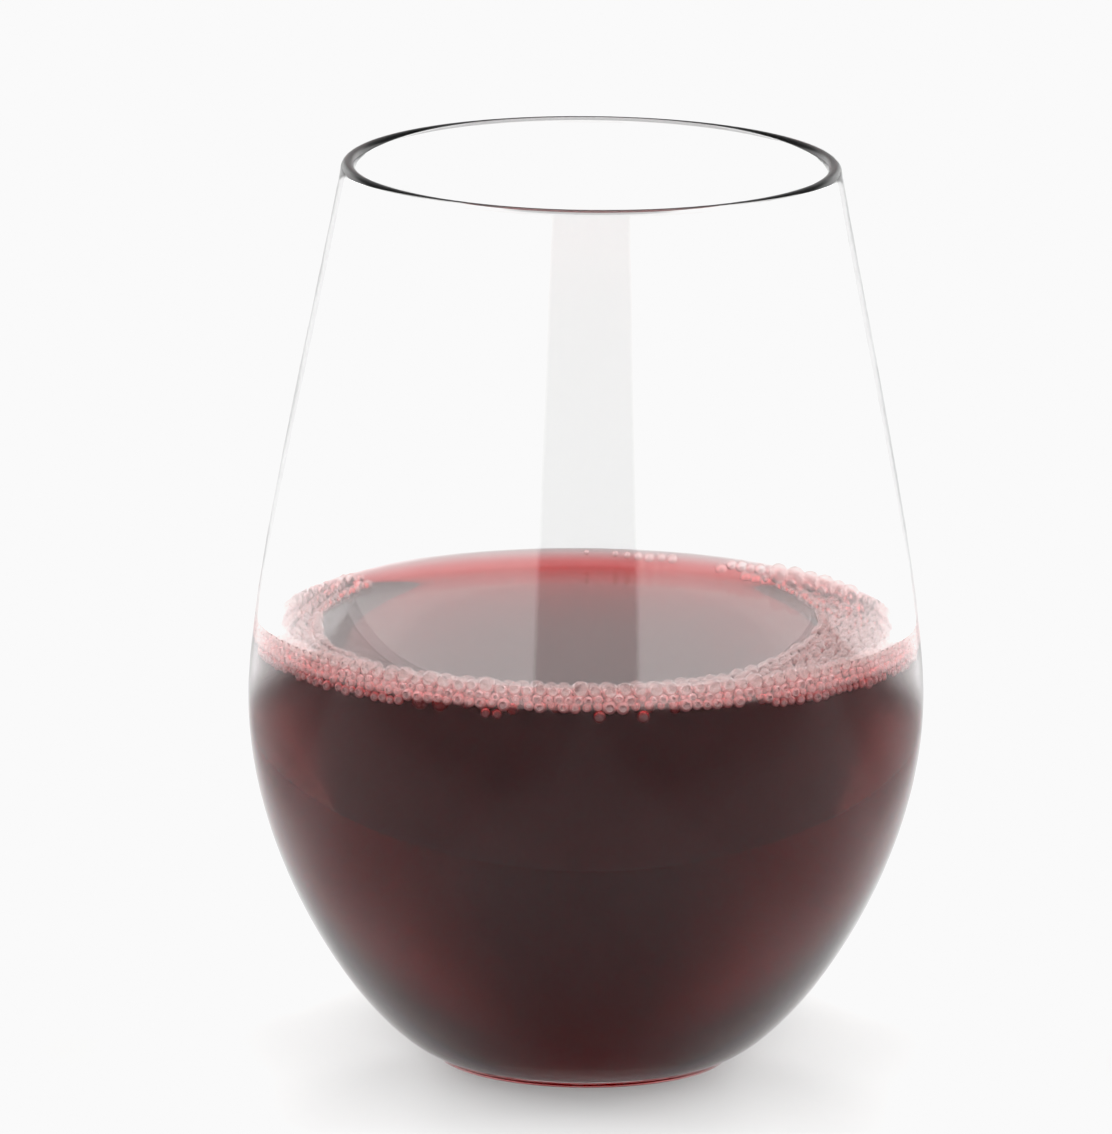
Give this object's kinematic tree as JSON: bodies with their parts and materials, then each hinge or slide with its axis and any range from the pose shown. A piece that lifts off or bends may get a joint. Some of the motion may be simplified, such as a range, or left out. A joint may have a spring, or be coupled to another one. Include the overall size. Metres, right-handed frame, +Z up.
{
  "type": "glass of red wine",
  "caption": "Stemless wine glass, round-bellied and narrowing to its rim, a little under half full of red wine with a collar of bubbles round the edge.",
  "frame": {"origin": "middle of the foot, on the plane that the glass stands on", "axes": "+Z up along the glass's axis of revolution, -Y towards the viewer of the picture, +X to the viewer's right"},
  "size_m": [0.092, 0.092, 0.124],
  "materials": {
    "glass": "clear colourless glass, polished",
    "wine": "dark red wine, clear and still",
    "bubbles": "pale pink film round small bubbles"
  },
  "bodies": {
    "root": {"glass": "glass", "wine": "wine", "bubbles": "bubbles"}
  },
  "joints": []
}
